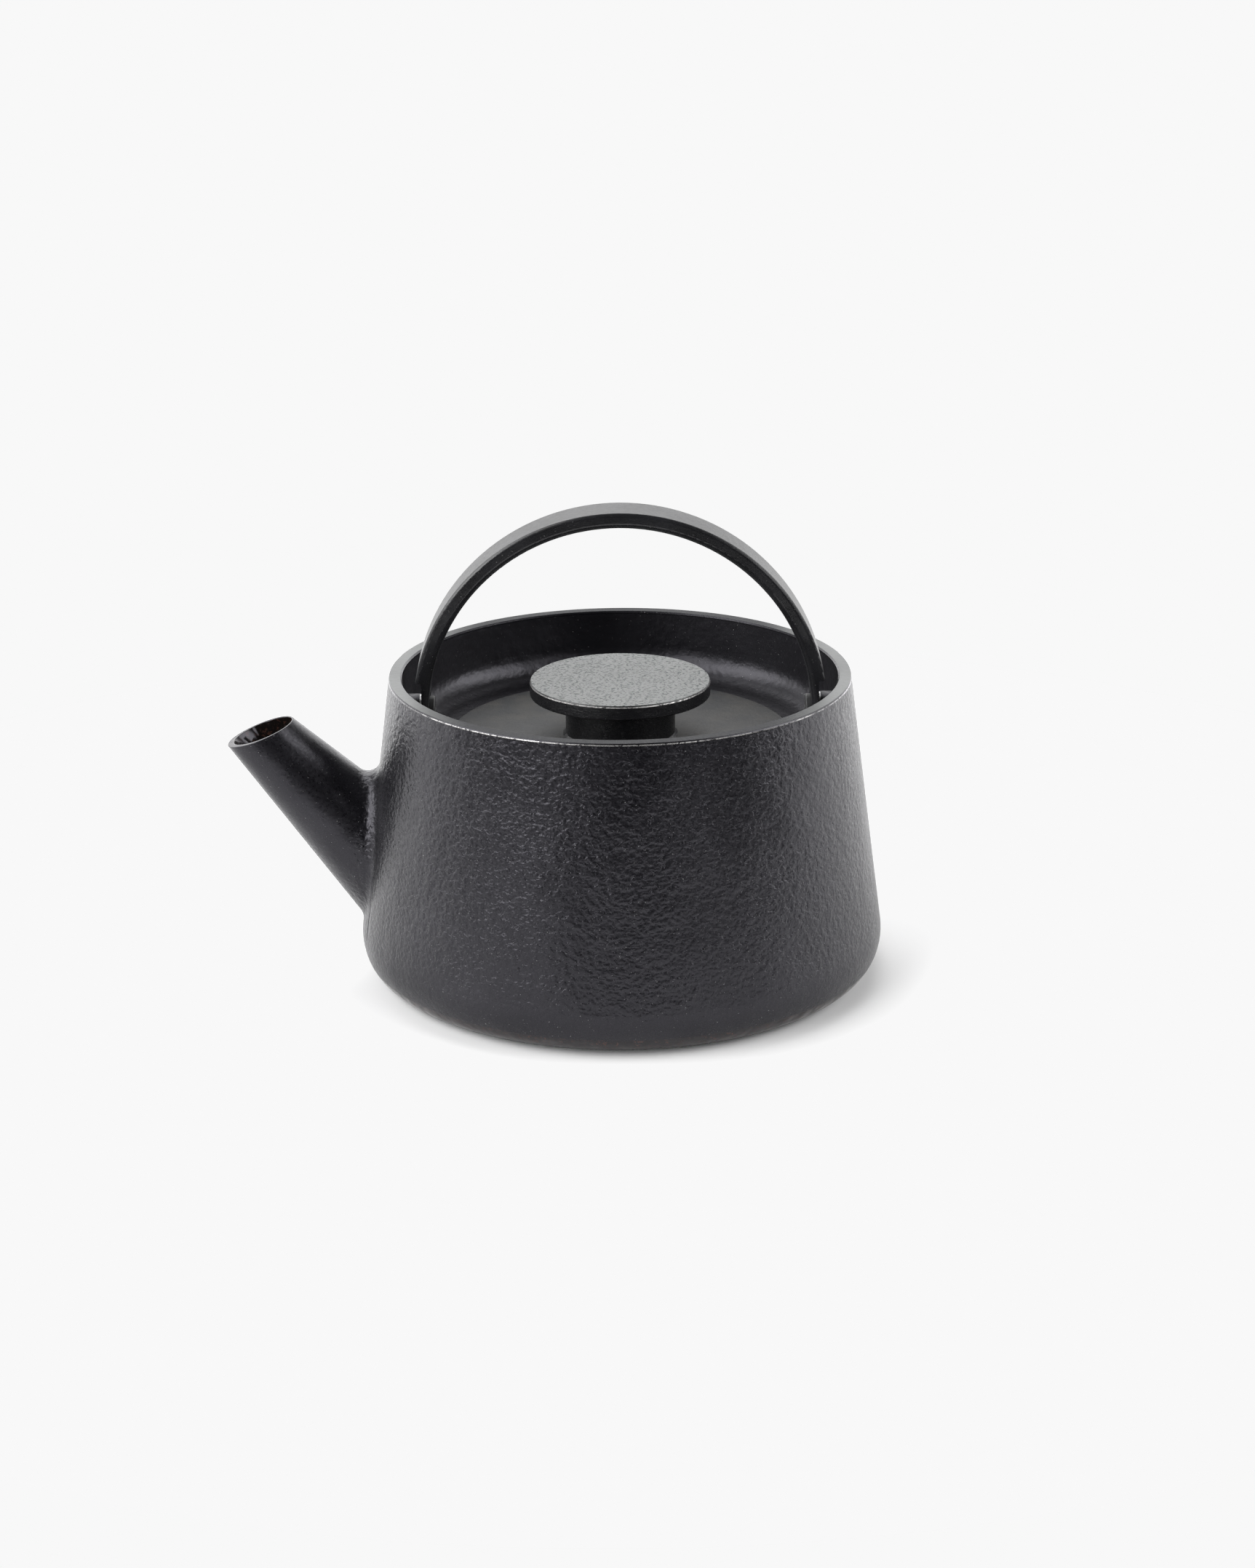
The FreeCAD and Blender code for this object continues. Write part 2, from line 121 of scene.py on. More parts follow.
# The basket, as the CAD has it: a tapering wall from the base to the collar, and a base domed in the middle
BASKET_BASE_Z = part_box("infuser_base")[0].z
BASKET_COLLAR_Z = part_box("infuser_wall")[1].z
BASKET_LOW_R = 40.2 * MM
BASKET_HIGH_R = 43.16 * MM
BASKET_SHEET = 0.6 * MM
BASKET_SHEET_TRIM = 0.04 * MM
BASKET_DOME = 1.4 * MM
DOME_START = 0.52
DOME_WIDTH = 0.31
BORDER_SEGMENTS = 120

# Round holes in staggered rows; the share is the hole's radius in half pitches
HOLE_PITCH = 2.0 * MM
HOLE_SHARE = 0.58
CELL_RING = ((1, 0), (1, 1), (0, 1), (-1, 1), (-1, 0), (-1, -1), (0, -1), (1, -1))

# Colours, linear
BARE_METAL = (0.58, 0.57, 0.56, 1)
# Painted glints: pale specks that stand in for glints of light on the coating's tiny bumps
PAINTED_GLINT = (0.20, 0.20, 0.20, 1)
IRON_DEEP = (0.0034, 0.0032, 0.0042, 1)
IRON_THIN = (0.0068, 0.0065, 0.0079, 1)
IRON_TINT = (0.92, 0.90, 1.0, 1)
RIM_BLACK = (0.010, 0.011, 0.011, 1)
# Rim face: dark at the front and back, lighter towards the left and right as painted sheen; its brush strokes are
# partly the real brushing, partly painted sheen
RIM_SIDE_SHEEN = (0.09, 0.095, 0.09, 1)
RIM_BRUSHED_AND_SHEEN = (0.24, 0.245, 0.24, 1)
ENAMEL_BLACK = (0.008, 0.0065, 0.006, 1)
ENAMEL_BROWN = (0.050, 0.024, 0.018, 1)
LID_DEEP = (0.007, 0.009, 0.011, 1)
LID_THIN = (0.030, 0.028, 0.024, 1)
KNOB_BLACK = (0.0060, 0.0060, 0.0070, 1)
KNOB_SCUFF = (0.060, 0.060, 0.062, 1)
# Knob top: its pale colour is a painted reflection of the bright backdrop on the upward face, and its darker pits
# are painted shade
KNOB_TOP_SHEEN_DEEP = (0.105, 0.110, 0.108, 1)
KNOB_TOP_SHEEN_PALE = (0.200, 0.207, 0.204, 1)
KNOB_PIT_SHADE = (0.020, 0.030, 0.031, 1)
COATING_DEEP = (0.010, 0.010, 0.011, 1)
COATING_THIN = (0.016, 0.016, 0.018, 1)
COATING_SPECK = (0.12, 0.12, 0.12, 1)
SCREW_BLACK = (0.020, 0.020, 0.021, 1)
STEEL = (0.60, 0.60, 0.61, 1)
STEEL_DULL = (0.48, 0.48, 0.49, 1)

# Reflection of the iron's coating, and how metallic its bare edges are
IRON_SPECULAR = 0.43
BARE_METALLIC = 0.9

# Heights of the bumps
SKIN_BUMP = 0.15 * MM
WAVE_BUMP = 0.6 * MM
WELL_BUMP = 0.26 * MM
ENAMEL_BUMP = 0.5 * MM
BRUSH_BUMP = 0.02 * MM
EDGE_BUMP = 0.06 * MM
LID_GRAIN_BUMP = 0.05 * MM
LID_RIPPLE_BUMP = 0.25 * MM
KNOB_SAND_BUMP = 0.40 * MM
KNOB_LATHE_BUMP = 0.10 * MM
KNOB_GRAIN_BUMP = 0.09 * MM
COATING_PEEL_BUMP = 0.03 * MM
COATING_GRAIN_BUMP = 0.012 * MM
COATING_WAVE_BUMP = 0.18 * MM
STEEL_LINE_BUMP = 0.012 * MM
STEEL_GRAIN_BUMP = 0.01 * MM


# ---------------------------------------------------------------- shader helpers

def add(tree, kind, inputs=None, **settings):
    """A shader node with its settings and inputs; an input is a value or another node's socket."""
    made = tree.nodes.new(kind)
    for key, value in settings.items():
        setattr(made, key, value)
    for key, value in (inputs or {}).items():
        plug(tree, made.inputs[key], value)
    return made


def plug(tree, socket, value):
    """Links another node's socket to an input, or sets the input's value."""
    if isinstance(value, bpy.types.NodeSocket):
        tree.links.new(value, socket)
    else:
        socket.default_value = value


def math_node(tree, operation, a, b=0.0):
    """Result of a Math node."""
    return add(tree, "ShaderNodeMath", {0: a, 1: b}, operation=operation).outputs[0]


def product(tree, first, *others):
    """Product of two or more values."""
    for other in others:
        first = math_node(tree, "MULTIPLY", first, other)
    return first


def ramp(tree, value, low, high, to_low=0.0, to_high=1.0):
    """A smooth step of a value from one range to another."""
    inputs = {"Value": value, "From Min": low, "From Max": high, "To Min": to_low, "To Max": to_high}
    return add(tree, "ShaderNodeMapRange", inputs, interpolation_type="SMOOTHSTEP").outputs[0]


def mix_value(tree, factor, a, b):
    """Linear mix of two values."""
    return add(tree, "ShaderNodeMix", {"Factor": factor, "A": a, "B": b}, data_type="FLOAT").outputs["Result"]


def mix_colour(tree, factor, a, b):
    """Linear mix of two colours."""
    return add(tree, "ShaderNodeMix", {"Factor": factor, 6: a, 7: b}, data_type="RGBA").outputs[2]


def mix_normal(tree, factor, a, b):
    """Linear mix of two normals."""
    return add(tree, "ShaderNodeMix", {"Factor": factor, 4: a, 5: b}, data_type="VECTOR").outputs[1]


def vector_math(tree, operation, a, b=None):
    """Vector result of a Vector Math node."""
    inputs = {0: a} if b is None else {0: a, 1: b}
    return add(tree, "ShaderNodeVectorMath", inputs, operation=operation).outputs[0]


def scaled(tree, vector, scale):
    """A vector times a value."""
    return add(tree, "ShaderNodeVectorMath", {0: vector, "Scale": scale}, operation="SCALE").outputs[0]


def length(tree, vector):
    """Length of a vector."""
    return add(tree, "ShaderNodeVectorMath", {0: vector}, operation="LENGTH").outputs["Value"]


def dot(tree, a, b):
    """Dot product of two vectors."""
    return add(tree, "ShaderNodeVectorMath", {0: a, 1: b}, operation="DOT_PRODUCT").outputs["Value"]


def axes(tree, vector):
    """The outputs X, Y and Z of a vector."""
    return add(tree, "ShaderNodeSeparateXYZ", {"Vector": vector}).outputs


def object_place(tree):
    """Position in the row frame, in metres."""
    return add(tree, "ShaderNodeTexCoord").outputs["Object"]


def stretched_place(tree, scale):
    """Position in the row frame, scaled on each axis."""
    return add(tree, "ShaderNodeMapping", {"Vector": object_place(tree), "Scale": scale}).outputs["Vector"]


def noise(tree, scale, detail=2.0, roughness=0.5, place=None):
    """Fractal noise, 0 to 1, with its scale in steps per metre."""
    vector = object_place(tree) if place is None else place
    inputs = {"Vector": vector, "Scale": scale, "Detail": detail, "Roughness": roughness, "Distortion": 0.0}
    return add(tree, "ShaderNodeTexNoise", inputs).outputs[0]


def bump(tree, height, distance, normal=None):
    """Surface normal tilted by a height field; distance is the height of 1, in metres."""
    inputs = {"Height": height, "Distance": distance, "Strength": 1.0}
    if normal is not None:
        inputs["Normal"] = normal
    return add(tree, "ShaderNodeBump", inputs).outputs["Normal"]


def new_material(name):
    """A material with only a Principled shader and its output."""
    material = bpy.data.materials.new(name)
    material.use_nodes = True
    tree = material.node_tree
    tree.nodes.clear()
    shader = add(tree, "ShaderNodeBsdfPrincipled")
    add(tree, "ShaderNodeOutputMaterial", {"Surface": shader.outputs[0]})
    return material, tree, shader


def drive(tree, shader, **inputs):
    """Sets or links the shader's inputs, with underscores for spaces in their names."""
    for key, value in inputs.items():
        plug(tree, shader.inputs[key.replace("_", " ")], value)


# ---------------------------------------------------------------- studio

def make_camera():
    """Camera on the front side, looking slightly down at the pot."""
    pitch = math.radians(CAMERA_PITCH_DEG)
    yaw = math.radians(CAMERA_YAW_DEG)
    camera = bpy.data.objects.new("camera", bpy.data.cameras.new("camera"))
    bpy.context.scene.collection.objects.link(camera)
    camera.data.lens = CAMERA_LENS
    camera.data.sensor_width = SENSOR_WIDTH
    camera.data.clip_start, camera.data.clip_end = CAMERA_CLIP
    turn = Matrix.Rotation(yaw, 4, "Z") @ Matrix.Rotation(math.pi / 2 - pitch, 4, "X")
    turn = turn @ Matrix.Rotation(math.radians(CAMERA_ROLL_DEG), 4, "Z")
    back = CAMERA_DISTANCE * math.cos(pitch)
    up = CAMERA_TARGET_Z + CAMERA_DISTANCE * math.sin(pitch)
    camera.matrix_world = Matrix.Translation(Vector((0, -back, up))) @ turn
    bpy.context.scene.camera = camera


def make_floor():
    """Pale round table top."""
    made = bmesh.new()
    bmesh.ops.create_circle(made, cap_ends=True, segments=FLOOR_SEGMENTS, radius=FLOOR_RADIUS)
    mesh = bpy.data.meshes.new("floor")
    made.to_mesh(mesh)
    made.free()
    floor = bpy.data.objects.new("floor", mesh)
    bpy.context.scene.collection.objects.link(floor)
    material, tree, shader = new_material("floor_paper")
    drive(tree, shader, Base_Color=FLOOR_COLOUR, Roughness=FLOOR_ROUGHNESS, Specular_IOR_Level=0.0)
    floor.data.materials.append(material)


def soft_light(tree, direction, azimuth_deg, elevation_deg, half_angle_deg, strength):
    """A soft round light in the sky; azimuth 0 is the camera's side and 90 is +X."""
    azimuth = math.radians(azimuth_deg)
    elevation = math.radians(elevation_deg)
    across = math.cos(elevation)
    centre = (math.sin(azimuth) * across, -math.cos(azimuth) * across, math.sin(elevation))
    edge = math.cos(math.radians(half_angle_deg))
    return ramp(tree, dot(tree, direction, centre), edge, 1.0, 0.0, strength)


def make_studio():
    """White sweep behind and at the sides, soft lights around, and little behind the camera."""
    world = bpy.data.worlds.new("studio")
    world.use_nodes = True
    tree = world.node_tree
    tree.nodes.clear()
    direction = add(tree, "ShaderNodeTexCoord").outputs["Generated"]
    behind = ramp(tree, axes(tree, direction)["Y"], *SWEEP_FRONT)
    low = ramp(tree, axes(tree, direction)["Z"], *SWEEP_TOP, 1.0, 0.0)
    light = product(tree, behind, low, SWEEP_STRENGTH)
    for shape in SOFT_LIGHTS:
        light = math_node(tree, "ADD", light, soft_light(tree, direction, *shape))
    seen = add(tree, "ShaderNodeLightPath").outputs["Is Camera Ray"]
    strength = mix_value(tree, seen, light, 1.0)
    background = add(tree, "ShaderNodeBackground", {"Color": (1, 1, 1, 1), "Strength": strength})
    add(tree, "ShaderNodeOutputWorld", {"Surface": background.outputs[0]})
    bpy.context.scene.world = world


def set_exposure():
    """Standard view whose white is the pale grey of an evenly lit sheet of paper."""
    view = bpy.context.scene.view_settings
    view.view_transform = "Standard"
    view.use_curve_mapping = True
    view.curve_mapping.extend = "HORIZONTAL"
    white = view.curve_mapping.curves[3].points[1]
    white.location = (1.0, BACKDROP)
    view.curve_mapping.update()


# ---------------------------------------------------------------- places on the teapot

def off_axis_and_height(tree):
    """Vector from the pot's axis straight out to the point, and the point's height above the base."""
    place = object_place(tree)
    return vector_math(tree, "MULTIPLY", place, (1, 1, 0)), axes(tree, place)["Z"]


def around_axis(tree, spread):
    """Texture point round the axis, without a seam; spread is how fast it moves on outwards and upwards."""
    off_axis, height = off_axis_and_height(tree)
    round_axis = scaled(tree, vector_math(tree, "NORMALIZE", off_axis), RIM_R)
    steps = product(tree, math_node(tree, "ADD", height, length(tree, off_axis)), spread)
    lift = add(tree, "ShaderNodeCombineXYZ", {"Z": steps}).outputs[0]
    return vector_math(tree, "ADD", round_axis, lift)


def cone_mask(tree, centre, radius, taper):
    """1 inside a cone along the spout's channel, with its radius given at centre; and the distance along it."""
    offset = vector_math(tree, "SUBTRACT", object_place(tree), centre)
    along = dot(tree, offset, SPOUT_AXIS)
    foot = scaled(tree, SPOUT_AXIS, along)
    off = length(tree, vector_math(tree, "SUBTRACT", offset, foot))
    wall = math_node(tree, "ADD", product(tree, along, taper), radius)
    return ramp(tree, math_node(tree, "SUBTRACT", wall, off), -0.1 * MM, 0.1 * MM), along


def spout_bore_mask(tree):
    """1 inside the spout's channel and its flare, and 0 elsewhere."""
    bore = cone_mask(tree, MOUTH, SPOUT_BORE_R, SPOUT_TAPER)[0]
    flare, along = cone_mask(tree, (FLARE_X, 0.0, FLARE_Z), FLARE_R, 0.0)
    near_mouth = ramp(tree, along, FLARE_DEPTH, FLARE_DEPTH - FLARE_FADE)
    return math_node(tree, "MAXIMUM", bore, product(tree, flare, near_mouth))


def flow_mark(tree):
    """1 along the thin upright line in the wall under the spout."""
    place = object_place(tree)
    height = axes(tree, place)["Z"]
    outward = (math.sin(FLOW_MARK_AZIMUTH), -math.cos(FLOW_MARK_AZIMUTH), 0.0)
    sideways = (math.cos(FLOW_MARK_AZIMUTH), math.sin(FLOW_MARK_AZIMUTH), 0.0)
    bend = product(tree, noise(tree, 60), FLOW_MARK_BEND)
    off = math_node(tree, "ADD", dot(tree, place, sideways), bend)
    off = math_node(tree, "ABSOLUTE", math_node(tree, "SUBTRACT", off, FLOW_MARK_BEND / 2))
    return product(
        tree,
        ramp(tree, off, *FLOW_MARK_HALF_WIDTH),
        ramp(tree, dot(tree, place, outward), 0.0, RIM_R),
        ramp(tree, height, FLOW_MARK_LOW, FLOW_MARK_LOW + FLOW_MARK_FADE),
        ramp(tree, height, FLOW_MARK_HIGH, FLOW_MARK_HIGH - FLOW_MARK_FADE),
    )


def bare_edge(tree, height, top):
    """Where paint is worn off the lower half of a rounded top edge: 1 on bare metal."""
    above = ramp(tree, height, top - 0.80 * MM, top - 0.66 * MM)
    below = ramp(tree, height, top - 0.34 * MM, top - 0.46 * MM)
    chips = ramp(tree, noise(tree, 900, 4.0, 0.7), 0.36, 0.56)
    stretch = ramp(tree, noise(tree, 38), 0.40, 0.58, 0.30, 0.9)
    return product(tree, above, below, chips, stretch)


# ---------------------------------------------------------------- materials

def pot_areas(tree):
    """Masks of the casting's areas, with the depth inside its wall and the height that they come from."""
    off_axis, height = off_axis_and_height(tree)
    wall_r = math_node(tree, "ADD", product(tree, height, -WALL_SLOPE), WALL_R_AT_BASE)
    depth = math_node(tree, "SUBTRACT", wall_r, length(tree, off_axis))
    inside = product(tree, ramp(tree, depth, 2.0 * MM, 2.6 * MM), ramp(tree, height, 2.0 * MM, 3.0 * MM))
    below_well = ramp(tree, height, WELL_FLOOR_Z - 0.3 * MM, WELL_FLOOR_Z - 0.6 * MM)
    sideways = math_node(tree, "ABSOLUTE", axes(tree, object_place(tree))["X"])
    return {
        "height": height,
        "depth": depth,
        "inside": inside,
        "enamel": math_node(tree, "MAXIMUM", product(tree, inside, below_well), spout_bore_mask(tree)),
        "rim_top": ramp(tree, height, RIM_Z - 0.10 * MM, RIM_Z - 0.04 * MM),
        "rim_edge": ramp(tree, height, RIM_Z - 1.1 * MM, RIM_Z - 0.7 * MM),
        # 0 at the front and back, 1 at the left and right: where the rim face gets its painted sheen, and is
        # smoother
        "rim_sides": ramp(tree, sideways, 0.60 * RIM_R, 0.97 * RIM_R),
        "bare": product(tree, bare_edge(tree, height, RIM_Z), ramp(tree, depth, 1.2 * MM, 0.9 * MM)),
        "strokes": noise(tree, 3600, 3.0, 0.7, around_axis(tree, 0.10)),
    }


def cast_skin(tree, areas):
    """Height field of the cast skin: rounded lumps, small pits and fine grain, calmer at heel and spout."""
    place = stretched_place(tree, (1, 1, 1.15))
    lumps = ramp(tree, noise(tree, 560, 1.5, place=place), 0.26, 0.74)
    pits = ramp(tree, noise(tree, 800, 1.0, place=place), 0.60, 0.72, 0.0, 0.5)
    grain = product(tree, noise(tree, 1500, place=place), 0.25)
    patches = ramp(tree, noise(tree, 24), 0.35, 0.62, 0.65, 1.0)
    off_heel = ramp(tree, areas["height"], 8 * MM, 22 * MM, 0.25, 1.0)
    off_spout = ramp(tree, areas["depth"], -9 * MM, -3 * MM, 0.22, 1.0)
    skin = math_node(tree, "SUBTRACT", math_node(tree, "ADD", lumps, grain), pits)
    skin = product(tree, skin, patches, off_heel, off_spout)
    return math_node(tree, "SUBTRACT", skin, product(tree, flow_mark(tree), FLOW_MARK_DEPTH))


def pot_normal(tree, areas):
    """Cast skin outside, orange peel in the well, a worn edge and brushed face on the rim, rippled enamel."""
    skin = bump(tree, cast_skin(tree, areas), SKIN_BUMP)
    skin = bump(tree, noise(tree, 65), WAVE_BUMP, skin)
    well = bump(tree, noise(tree, 330, 2.5), WELL_BUMP)
    edge = bump(tree, noise(tree, 1300, 3.0, 0.6), EDGE_BUMP)
    face = bump(tree, areas["strokes"], BRUSH_BUMP)
    enamel = bump(tree, noise(tree, 190, 1.5, 0.45), ENAMEL_BUMP)
    normal = mix_normal(tree, areas["inside"], skin, well)
    normal = mix_normal(tree, areas["rim_edge"], normal, edge)
    normal = mix_normal(tree, areas["rim_top"], normal, face)
    return mix_normal(tree, areas["enamel"], normal, enamel)


def pot_colour(tree, areas):
    """Black coating with a few painted glints, bare metal on the rim's edge, a brushed rim face lighter towards
    its left and right sides as painted sheen, dark brown enamel.
    """
    colour = mix_colour(tree, ramp(tree, noise(tree, 45, 3.0), 0.35, 0.65), IRON_DEEP, IRON_THIN)
    # Painted glints: tiny pale specks in place of highlights on the cast skin
    painted_glints = ramp(tree, noise(tree, 2300, 1.0), 0.74, 0.80)
    colour = mix_colour(tree, painted_glints, colour, PAINTED_GLINT)
    colour = mix_colour(tree, areas["bare"], colour, BARE_METAL)
    # Painted sheen: the brush strokes and the rim face get lighter towards the left and right sides
    brushing_and_sheen = ramp(tree, areas["strokes"], 0.35, 0.7)
    brushing_and_sheen = product(tree, brushing_and_sheen, mix_value(tree, areas["rim_sides"], 0.10, 0.35))
    face = mix_colour(tree, areas["rim_sides"], RIM_BLACK, RIM_SIDE_SHEEN)
    face = mix_colour(tree, brushing_and_sheen, face, RIM_BRUSHED_AND_SHEEN)
    colour = mix_colour(tree, areas["rim_top"], colour, face)
    speckle = ramp(tree, noise(tree, 900, 3.0, 0.6), 0.52, 0.70)
    return mix_colour(tree, areas["enamel"], colour, mix_colour(tree, speckle, ENAMEL_BLACK, ENAMEL_BROWN))


def pot_roughness(tree, areas):
    """Satin coating, a duller rim face that is smoother at the sides, and glossy enamel."""
    rough = mix_value(tree, ramp(tree, noise(tree, 1300), 0.3, 0.7), 0.26, 0.36)
    rough = mix_value(tree, areas["inside"], rough, 0.36)
    rough = mix_value(tree, areas["rim_edge"], rough, 0.24)
    face = mix_value(tree, areas["rim_sides"], 0.75, 0.42)
    face = math_node(tree, "ADD", face, mix_value(tree, areas["strokes"], -0.07, 0.07))
    rough = mix_value(tree, areas["rim_top"], rough, face)
    return mix_value(tree, areas["enamel"], rough, 0.10)


def pot_iron():
    """Coated casting: cast skin outside, finer in the well, brushed rim, glossy enamel inside and in the spout."""
    material, tree, shader = new_material("pot_iron")
    areas = pot_areas(tree)
    drive(tree, shader, Base_Color=pot_colour(tree, areas), Roughness=pot_roughness(tree, areas),
          Normal=pot_normal(tree, areas), Metallic=product(tree, areas["bare"], BARE_METALLIC),
          Specular_IOR_Level=IRON_SPECULAR, Specular_Tint=IRON_TINT)
    return material


def lid_iron():
    """Satin black plate, faintly mottled, with ripples from the mould."""
    material, tree, shader = new_material("lid_iron")
    grain = noise(tree, 1000, 3.0, 0.6)
    normal = bump(tree, grain, LID_GRAIN_BUMP)
    normal = bump(tree, noise(tree, 150, 3.0, 0.55), LID_RIPPLE_BUMP, normal)
    mottle = ramp(tree, noise(tree, 75, 4.0, 0.6), 0.35, 0.68)
    drive(tree, shader, Base_Color=mix_colour(tree, mottle, LID_DEEP, LID_THIN),
          Roughness=mix_value(tree, grain, 0.50, 0.64), Normal=normal)
    return material


def knob_iron():
    """Pale top as painted reflection, with painted shade in its fine pits, and a dark side with lathe marks and
    bare metal at the top edge.
    """
    material, tree, shader = new_material("knob_iron")
    height = axes(tree, object_place(tree))["Z"]
    top = ramp(tree, height, KNOB_TOP_Z - 0.10 * MM, KNOB_TOP_Z - 0.03 * MM)
    bare = bare_edge(tree, height, KNOB_TOP_Z)
    pits = ramp(tree, noise(tree, 1100, 2.5, 0.6), 0.50, 0.66)
    grain = noise(tree, 1700, 3.0, 0.65)
    turned = noise(tree, 190, 4.0, 0.75, around_axis(tree, 11.0))

    sand = math_node(tree, "SUBTRACT", grain, product(tree, pits, 0.7))
    side_normal = bump(tree, turned, KNOB_LATHE_BUMP)
    side_normal = bump(tree, grain, KNOB_GRAIN_BUMP, side_normal)
    normal = mix_normal(tree, top, side_normal, bump(tree, sand, KNOB_SAND_BUMP))

    dark = mix_colour(tree, ramp(tree, turned, 0.55, 0.72, 0.0, 0.5), KNOB_BLACK, KNOB_SCUFF)
    dark = mix_colour(tree, bare, dark, BARE_METAL)
    # Painted reflection on the top face, mottled by the grain, with the pits in painted shade
    pale = mix_colour(tree, grain, KNOB_TOP_SHEEN_DEEP, KNOB_TOP_SHEEN_PALE)
    pale = mix_colour(tree, pits, pale, KNOB_PIT_SHADE)
    rough = mix_value(tree, top, mix_value(tree, grain, 0.22, 0.36), 0.46)
    drive(tree, shader, Base_Color=mix_colour(tree, top, dark, pale), Roughness=rough, Normal=normal,
          Metallic=product(tree, bare, BARE_METALLIC))
    return material


def handle_coating():
    """Powder coat with fine orange peel over a slightly uneven strap, duller on the outer face."""
    material, tree, shader = new_material("handle_coating")
    peel = noise(tree, 850)
    waves = noise(tree, 90, 1.5)
    normal = bump(tree, peel, COATING_PEEL_BUMP)
    normal = bump(tree, noise(tree, 2600), COATING_GRAIN_BUMP, normal)
    normal = bump(tree, waves, COATING_WAVE_BUMP, normal)

    colour = mix_colour(tree, ramp(tree, waves, 0.3, 0.7), COATING_DEEP, COATING_THIN)
    specks = ramp(tree, noise(tree, 1900, 1.0), 0.72, 0.80)
    colour = mix_colour(tree, specks, colour, COATING_SPECK)

    from_pivot = vector_math(tree, "SUBTRACT", object_place(tree), (0, 0, PIVOT_Z))
    arch_r = length(tree, vector_math(tree, "MULTIPLY", from_pivot, (1, 0, 1)))
    outer_face = ramp(tree, arch_r, BAIL_R - 0.25 * MM, BAIL_R - 0.05 * MM)
    rough = mix_value(tree, outer_face, mix_value(tree, peel, 0.20, 0.28), mix_value(tree, peel, 0.38, 0.50))
    drive(tree, shader, Base_Color=colour, Roughness=rough, Normal=normal)
    return material


def blackened_steel():
    """Blackened screw steel with fine turning marks."""
    material, tree, shader = new_material("blackened_steel")
    grain = noise(tree, 2500, 3.0, place=stretched_place(tree, (0.2, 1, 1)))
    drive(tree, shader, Base_Color=SCREW_BLACK, Roughness=mix_value(tree, grain, 0.45, 0.60),
          Normal=bump(tree, grain, STEEL_GRAIN_BUMP))
    return material


def stainless_steel():
    """Satin stainless steel with fine lines round the axis."""
    material, tree, shader = new_material("stainless_steel")
    lines = noise(tree, 400, 3.0, 0.7, around_axis(tree, 12.0))
    drive(tree, shader, Base_Color=STEEL, Metallic=1.0, Roughness=mix_value(tree, lines, 0.22, 0.38),
          Normal=bump(tree, lines, STEEL_LINE_BUMP))
    return material


def stainless_mesh():
    """Etched stainless sheet, a little duller than the turned rim."""
    material, tree, shader = new_material("stainless_mesh")
    grain = noise(tree, 900, 3.0, 0.6)
    drive(tree, shader, Base_Color=mix_colour(tree, grain, STEEL_DULL, STEEL), Metallic=1.0,
          Roughness=mix_value(tree, grain, 0.28, 0.44), Normal=bump(tree, grain, STEEL_GRAIN_BUMP))
    return material


FINISHES = {
    "pot_iron": pot_iron,
    "lid_iron": lid_iron,
    "knob_iron": knob_iron,
    "handle_coating": handle_coating,
    "blackened_steel": blackened_steel,
    "stainless_steel": stainless_steel,
    "stainless_mesh": stainless_mesh,
}


def dress_cad_nodes(materials):
    """Gives every CAD node the material of its slot in the record."""
    for row in frame["record"]["subparts"]:
        mesh = frame["nodes"][row["node"]].data
        mesh.materials.clear()
        mesh.materials.append(materials[row["material_slot"]])


# ---------------------------------------------------------------- infuser basket

def perforated_cells(made, centres, place, wrap=None):
    """Square cells with a round hole each, on a grid of half pitches; place turns grid steps into a point."""
    shared = {}
    holes = set()

    def corner(across, up):
        """Grid vertex, shared by the cells that meet there."""
        key = (across % wrap if wrap else across, up)
        if key not in shared:
            shared[key] = made.verts.new(place(*key))
        return shared[key]

    for across, up in centres:
        outer = [corner(across + step[0], up + step[1]) for step in CELL_RING]
        inner = []
        for turn in range(len(CELL_RING)):
            angle = turn * math.tau / len(CELL_RING)
            point = place(across + HOLE_SHARE * math.cos(angle), up + HOLE_SHARE * math.sin(angle))
            inner.append(made.verts.new(point))
        holes.update(inner)
        for here in range(len(CELL_RING)):
            there = (here + 1) % len(CELL_RING)
            made.faces.new((outer[here], outer[there], inner[there], inner[here]))
    return holes


def finish_sheet(made, name, material, node):
    """Gives the sheet its thickness and hangs it on the infuser in place of its CAD node."""
    bmesh.ops.recalc_face_normals(made, faces=made.faces)
    mesh = bpy.data.meshes.new(name)
    made.to_mesh(mesh)
    made.free()
    piece = bpy.data.objects.new(name, mesh)
    bpy.context.scene.collection.objects.link(piece)
    thick = piece.modifiers.new("thickness", "SOLIDIFY")
    thick.thickness = BASKET_SHEET - BASKET_SHEET_TRIM
    thick.offset = 0.0
    solid = bpy.data.meshes.new_from_object(piece.evaluated_get(bpy.context.evaluated_depsgraph_get()))
    piece.modifiers.clear()
    piece.data = solid
    solid.materials.clear()
    solid.materials.append(material)
    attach(piece, "infuser")
    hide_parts(node)


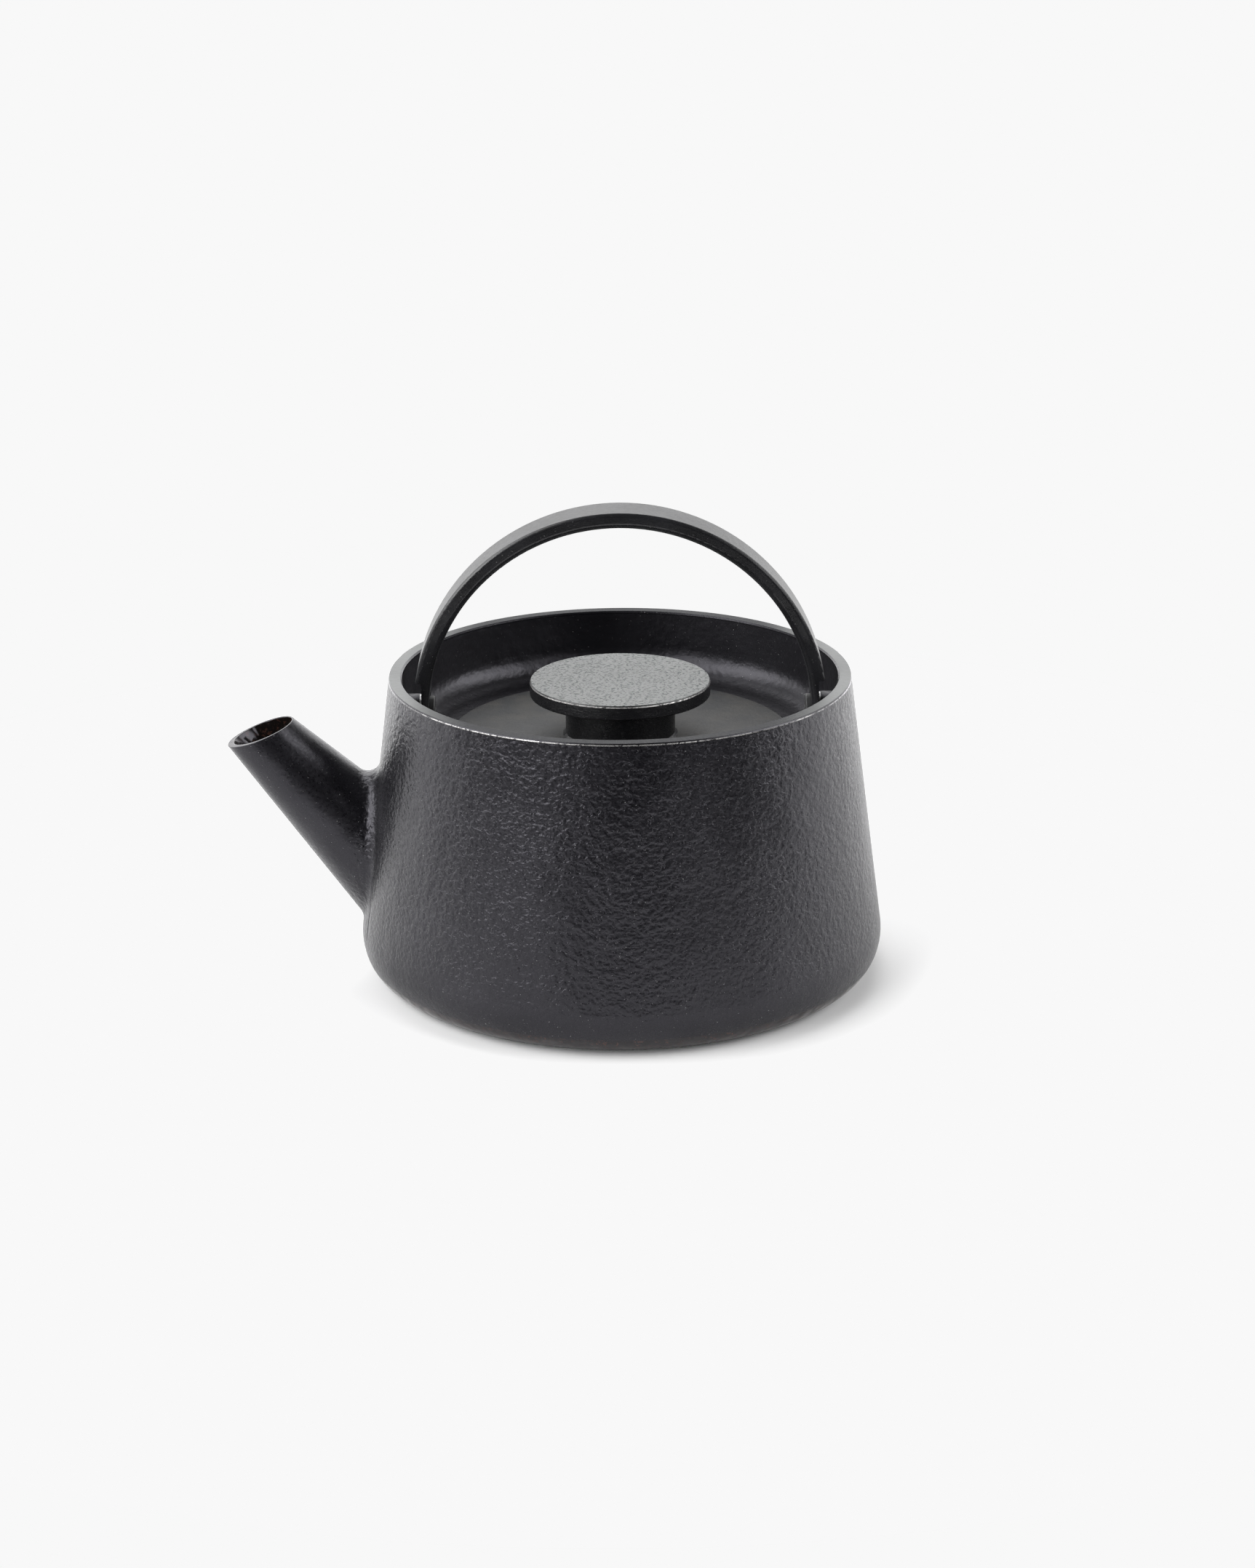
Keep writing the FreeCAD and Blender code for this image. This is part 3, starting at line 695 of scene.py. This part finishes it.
def make_basket_wall(material):
    """Perforated wall: staggered rows of holes in a slightly tapering sheet."""
    columns = round(math.tau * BASKET_LOW_R / HOLE_PITCH)
    rows = round((BASKET_COLLAR_Z - BASKET_BASE_Z) / HOLE_PITCH)

    def place(across, up):
        """Point of the sheet's middle surface."""
        share = up / (2 * rows)
        angle = across * math.pi / columns
        radius = BASKET_LOW_R + share * (BASKET_HIGH_R - BASKET_LOW_R) - BASKET_SHEET / 2
        height = BASKET_BASE_Z + share * (BASKET_COLLAR_Z - BASKET_BASE_Z)
        return Vector((radius * math.cos(angle), radius * math.sin(angle), height))

    made = bmesh.new()
    centres = [(2 * column + row % 2, 2 * row + 1) for row in range(rows) for column in range(columns)]
    perforated_cells(made, centres, place, wrap=2 * columns)
    finish_sheet(made, "infuser_mesh_wall", material, "infuser_wall")


def make_basket_base(material):
    """Perforated base: a field of holes inside a plain border, pressed up in the middle."""
    half = HOLE_PITCH / 2
    border_r = BASKET_LOW_R - BASKET_SHEET
    field_r = border_r - HOLE_PITCH
    reach = int(field_r / half)

    made = bmesh.new()
    centres = []
    for row, up in enumerate(range(-reach, reach + 1, 2)):
        for across in range(-reach - row % 2, reach + 1, 2):
            far = max(math.hypot(across + step[0], up + step[1]) for step in CELL_RING)
            if far * half < field_r:
                centres.append((across, up))
    holes = perforated_cells(made, centres, lambda across, up: Vector((across * half, up * half, 0)))
    field_edges = [edge for edge in made.edges if edge.is_boundary and not holes.intersection(edge.verts)]
    circle = bmesh.ops.create_circle(made, cap_ends=False, segments=BORDER_SEGMENTS, radius=border_r)["verts"]
    border_edges = list({edge for vert in circle for edge in vert.link_edges})
    bmesh.ops.triangle_fill(made, use_beauty=True, edges=field_edges + border_edges, normal=(0, 0, 1))
    for vert in made.verts:
        share = (math.hypot(vert.co.x, vert.co.y) / BASKET_LOW_R - DOME_START) / DOME_WIDTH
        share = min(1.0, max(0.0, share))
        rise = BASKET_DOME * (1 - share * share * (3 - 2 * share))
        vert.co.z = BASKET_BASE_Z + BASKET_SHEET / 2 + rise
    finish_sheet(made, "infuser_mesh_base", material, "infuser_base")


make_camera()
make_floor()
make_studio()
set_exposure()
finishes = {name: make() for name, make in FINISHES.items()}
dress_cad_nodes(finishes)
make_basket_wall(finishes["stainless_mesh"])
make_basket_base(finishes["stainless_mesh"])
